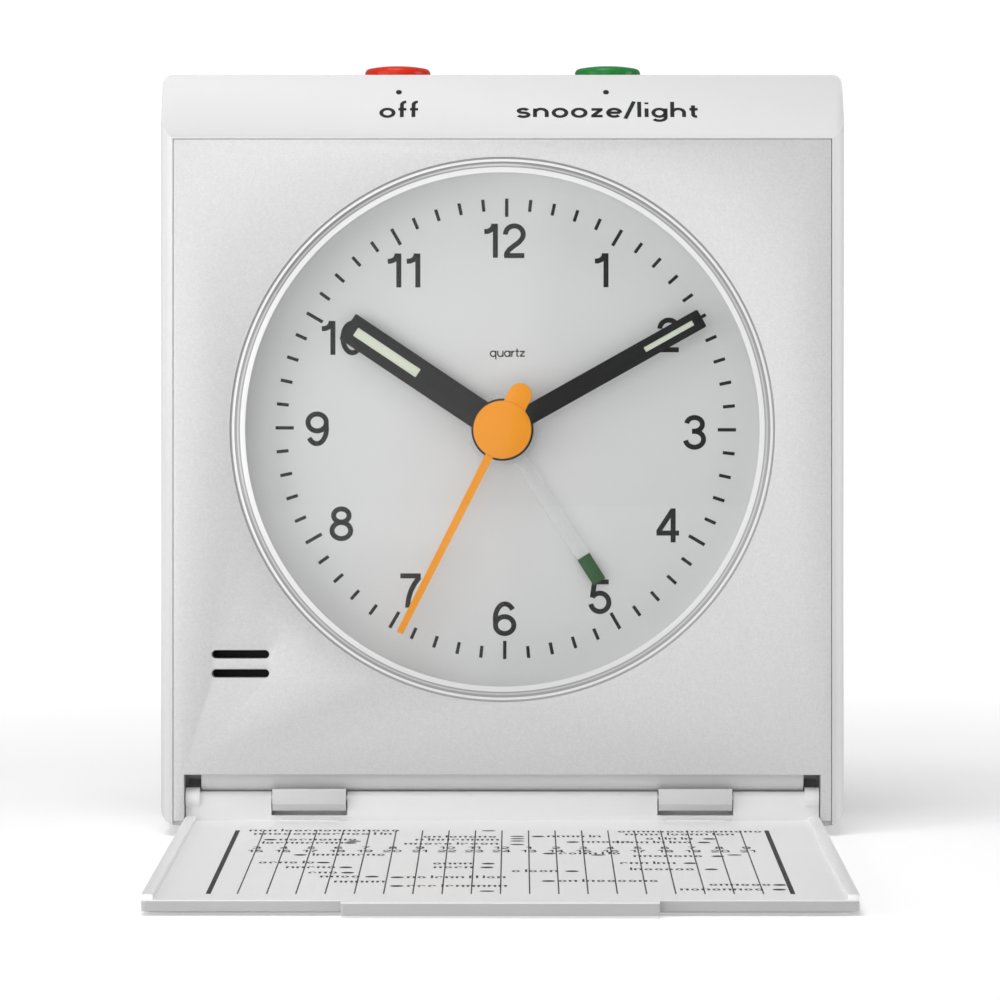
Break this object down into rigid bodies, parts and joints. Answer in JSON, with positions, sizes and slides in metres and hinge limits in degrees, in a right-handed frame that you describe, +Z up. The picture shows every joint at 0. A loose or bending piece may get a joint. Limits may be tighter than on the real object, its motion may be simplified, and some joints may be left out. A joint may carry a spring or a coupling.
{
  "type": "travel alarm clock",
  "caption": "Folding travel alarm clock: square silver case with a round analogue dial, two top buttons and a hinged lid that opens flat as its foot.",
  "frame": {"origin": "bottom centre of the bounding box with the lid open flat, on the surface the clock stands on", "axes": "+Z up, +X to the right as the dial is read, -Y towards the reader, who sees the dial and the open lid in front of it"},
  "size_m": [0.068, 0.09, 0.0766],
  "materials": {
    "shell": "satin silver-white moulded plastic",
    "panel": "fine pearl silver lacquer",
    "crystal": "clear polished acrylic",
    "dial": "matt silver print",
    "hand_black": "satin black",
    "hand_orange": "satin orange",
    "lume": "pale green luminous paste",
    "alarm_clear": "clear plastic",
    "alarm_green": "dark green print",
    "red_button": "glossy red",
    "green_button": "glossy green",
    "steel": "bright steel",
    "brass": "turned brass",
    "gear_plastic": "natural white acetal",
    "knob_plastic": "satin grey plastic",
    "frame_plastic": "grey moulded plastic",
    "core_iron": "soft iron sheet",
    "magnet": "sintered magnet with moulded pinion",
    "copper": "enamelled copper wire",
    "piezo": "brass disc with a ceramic face",
    "guide": "clear acrylic",
    "cell": "printed steel jacket",
    "insulation": "PVC insulated wire",
    "board": "green laminate",
    "resin": "black sealing resin",
    "switch": "black moulded plastic",
    "gauze": "fine black dust mesh"
  },
  "bodies": {
    "case": {"front_case": "shell", "face_panel": "panel", "crystal": "crystal", "dial_ring": "shell", "dial": "dial", "light_guide": "guide", "light_lamp": "gear_plastic", "rear_case": "shell", "case_screws": "steel", "battery_cell": "cell", "battery_spring": "steel", "battery_contact": "steel", "battery_leads": "insulation", "sound_gauze": "gauze", "buzzer": "piezo", "circuit_board": "board", "chip": "resin", "timing_crystal": "steel", "button_switches": "switch", "movement_cover": "frame_plastic", "movement_plate": "frame_plastic", "movement_bridge": "frame_plastic", "movement_screws": "steel", "stator": "core_iron", "coil_bobbin": "gear_plastic", "coil_winding": "copper", "alarm_contact": "brass", "hinge_pins": "steel", "detent_springs": "steel"},
    "lid": {"lid_shell": "shell"},
    "alarm_off": {"off_button": "red_button"},
    "snooze": {"snooze_button": "green_button"},
    "door": {"battery_door": "shell"},
    "seconds": {"second_hand": "hand_orange", "second_wheel": "brass"},
    "third": {"third_wheel": "brass"},
    "centre": {"centre_wheel": "brass"},
    "step": {"step_wheel": "gear_plastic"},
    "motor": {"rotor": "magnet"},
    "minutes": {"minute_hand": "hand_black", "minute_lume": "lume", "centre_pipe": "brass"},
    "minute_work": {"minute_wheel": "gear_plastic"},
    "hours": {"hour_hand": "hand_black", "hour_lume": "lume", "hour_wheel": "gear_plastic"},
    "time_setter": {"time_knob": "knob_plastic", "time_shaft": "gear_plastic"},
    "alarm": {"alarm_hand": "alarm_clear", "alarm_tip": "alarm_green", "alarm_wheel": "gear_plastic"},
    "alarm_setter": {"alarm_knob": "knob_plastic", "alarm_shaft": "gear_plastic"}
  },
  "joints": [
    {"name": "lid_hinge", "type": "hinge", "parent": "case", "child": "lid", "pos_m": [0, 0.02237, 0.0036], "axis": [-1, 0, 0], "range_deg": [0, 92.77]},
    {"name": "off_press", "type": "slide", "parent": "case", "child": "alarm_off", "axis": [0, -0.0483, -0.9988], "range_m": [0, 0.0008]},
    {"name": "snooze_press", "type": "slide", "parent": "case", "child": "snooze", "axis": [0, -0.0483, -0.9988], "range_m": [0, 0.0008], "stiffness_N_per_m": 250, "springref_m": -0.0005},
    {"name": "door_pull", "type": "slide", "parent": "case", "child": "door", "axis": [0, 0.9988, -0.0483], "range_m": [0, 0.012]},
    {"name": "second_spin", "type": "hinge", "parent": "case", "child": "seconds", "pos_m": [0, 0.03438, 0.03973], "axis": [0, 0.9988, -0.0483], "continuous": true},
    {"name": "third_spin", "type": "hinge", "parent": "case", "child": "third", "pos_m": [0, 0.03481, 0.04856], "axis": [0, 0.9988, -0.0483], "continuous": true},
    {"name": "centre_spin", "type": "hinge", "parent": "case", "child": "centre", "pos_m": [0, 0.03438, 0.03973], "axis": [0, 0.9988, -0.0483], "continuous": true},
    {"name": "step_spin", "type": "hinge", "parent": "case", "child": "step", "pos_m": [0, 0.03393, 0.03044], "axis": [0, 0.9988, -0.0483], "continuous": true},
    {"name": "motor_spin", "type": "hinge", "parent": "case", "child": "motor", "pos_m": [-0.00606, 0.03377, 0.02695], "axis": [0, 0.9988, -0.0483], "continuous": true},
    {"name": "minute_spin", "type": "hinge", "parent": "case", "child": "minutes", "pos_m": [0, 0.03438, 0.03973], "axis": [0, 0.9988, -0.0483], "continuous": true},
    {"name": "minute_work_spin", "type": "hinge", "parent": "case", "child": "minute_work", "pos_m": [-0.006, 0.03438, 0.03973], "axis": [0, 0.9988, -0.0483], "continuous": true},
    {"name": "hour_spin", "type": "hinge", "parent": "case", "child": "hours", "pos_m": [0, 0.03438, 0.03973], "axis": [0, 0.9988, -0.0483], "continuous": true},
    {"name": "time_set", "type": "hinge", "parent": "case", "child": "time_setter", "pos_m": [-0.012, 0.03438, 0.03973], "axis": [0, 0.9988, -0.0483], "continuous": true},
    {"name": "alarm_spin", "type": "hinge", "parent": "case", "child": "alarm", "pos_m": [0, 0.03438, 0.03973], "axis": [0, 0.9988, -0.0483], "continuous": true},
    {"name": "alarm_set", "type": "hinge", "parent": "case", "child": "alarm_setter", "pos_m": [0.012, 0.03438, 0.03973], "axis": [0, 0.9988, -0.0483], "continuous": true}
  ],
  "couplings": [
    {"joint": "third_spin", "follows": "second_spin", "ratio": -0.13333},
    {"joint": "centre_spin", "follows": "second_spin", "ratio": 0.016667},
    {"joint": "step_spin", "follows": "second_spin", "ratio": -5},
    {"joint": "motor_spin", "follows": "second_spin", "ratio": 30},
    {"joint": "minute_work_spin", "follows": "minute_spin", "ratio": -0.33333},
    {"joint": "hour_spin", "follows": "minute_spin", "ratio": 0.083333},
    {"joint": "time_set", "follows": "minute_spin", "ratio": 1},
    {"joint": "alarm_set", "follows": "alarm_spin", "ratio": -4.7143}
  ]
}
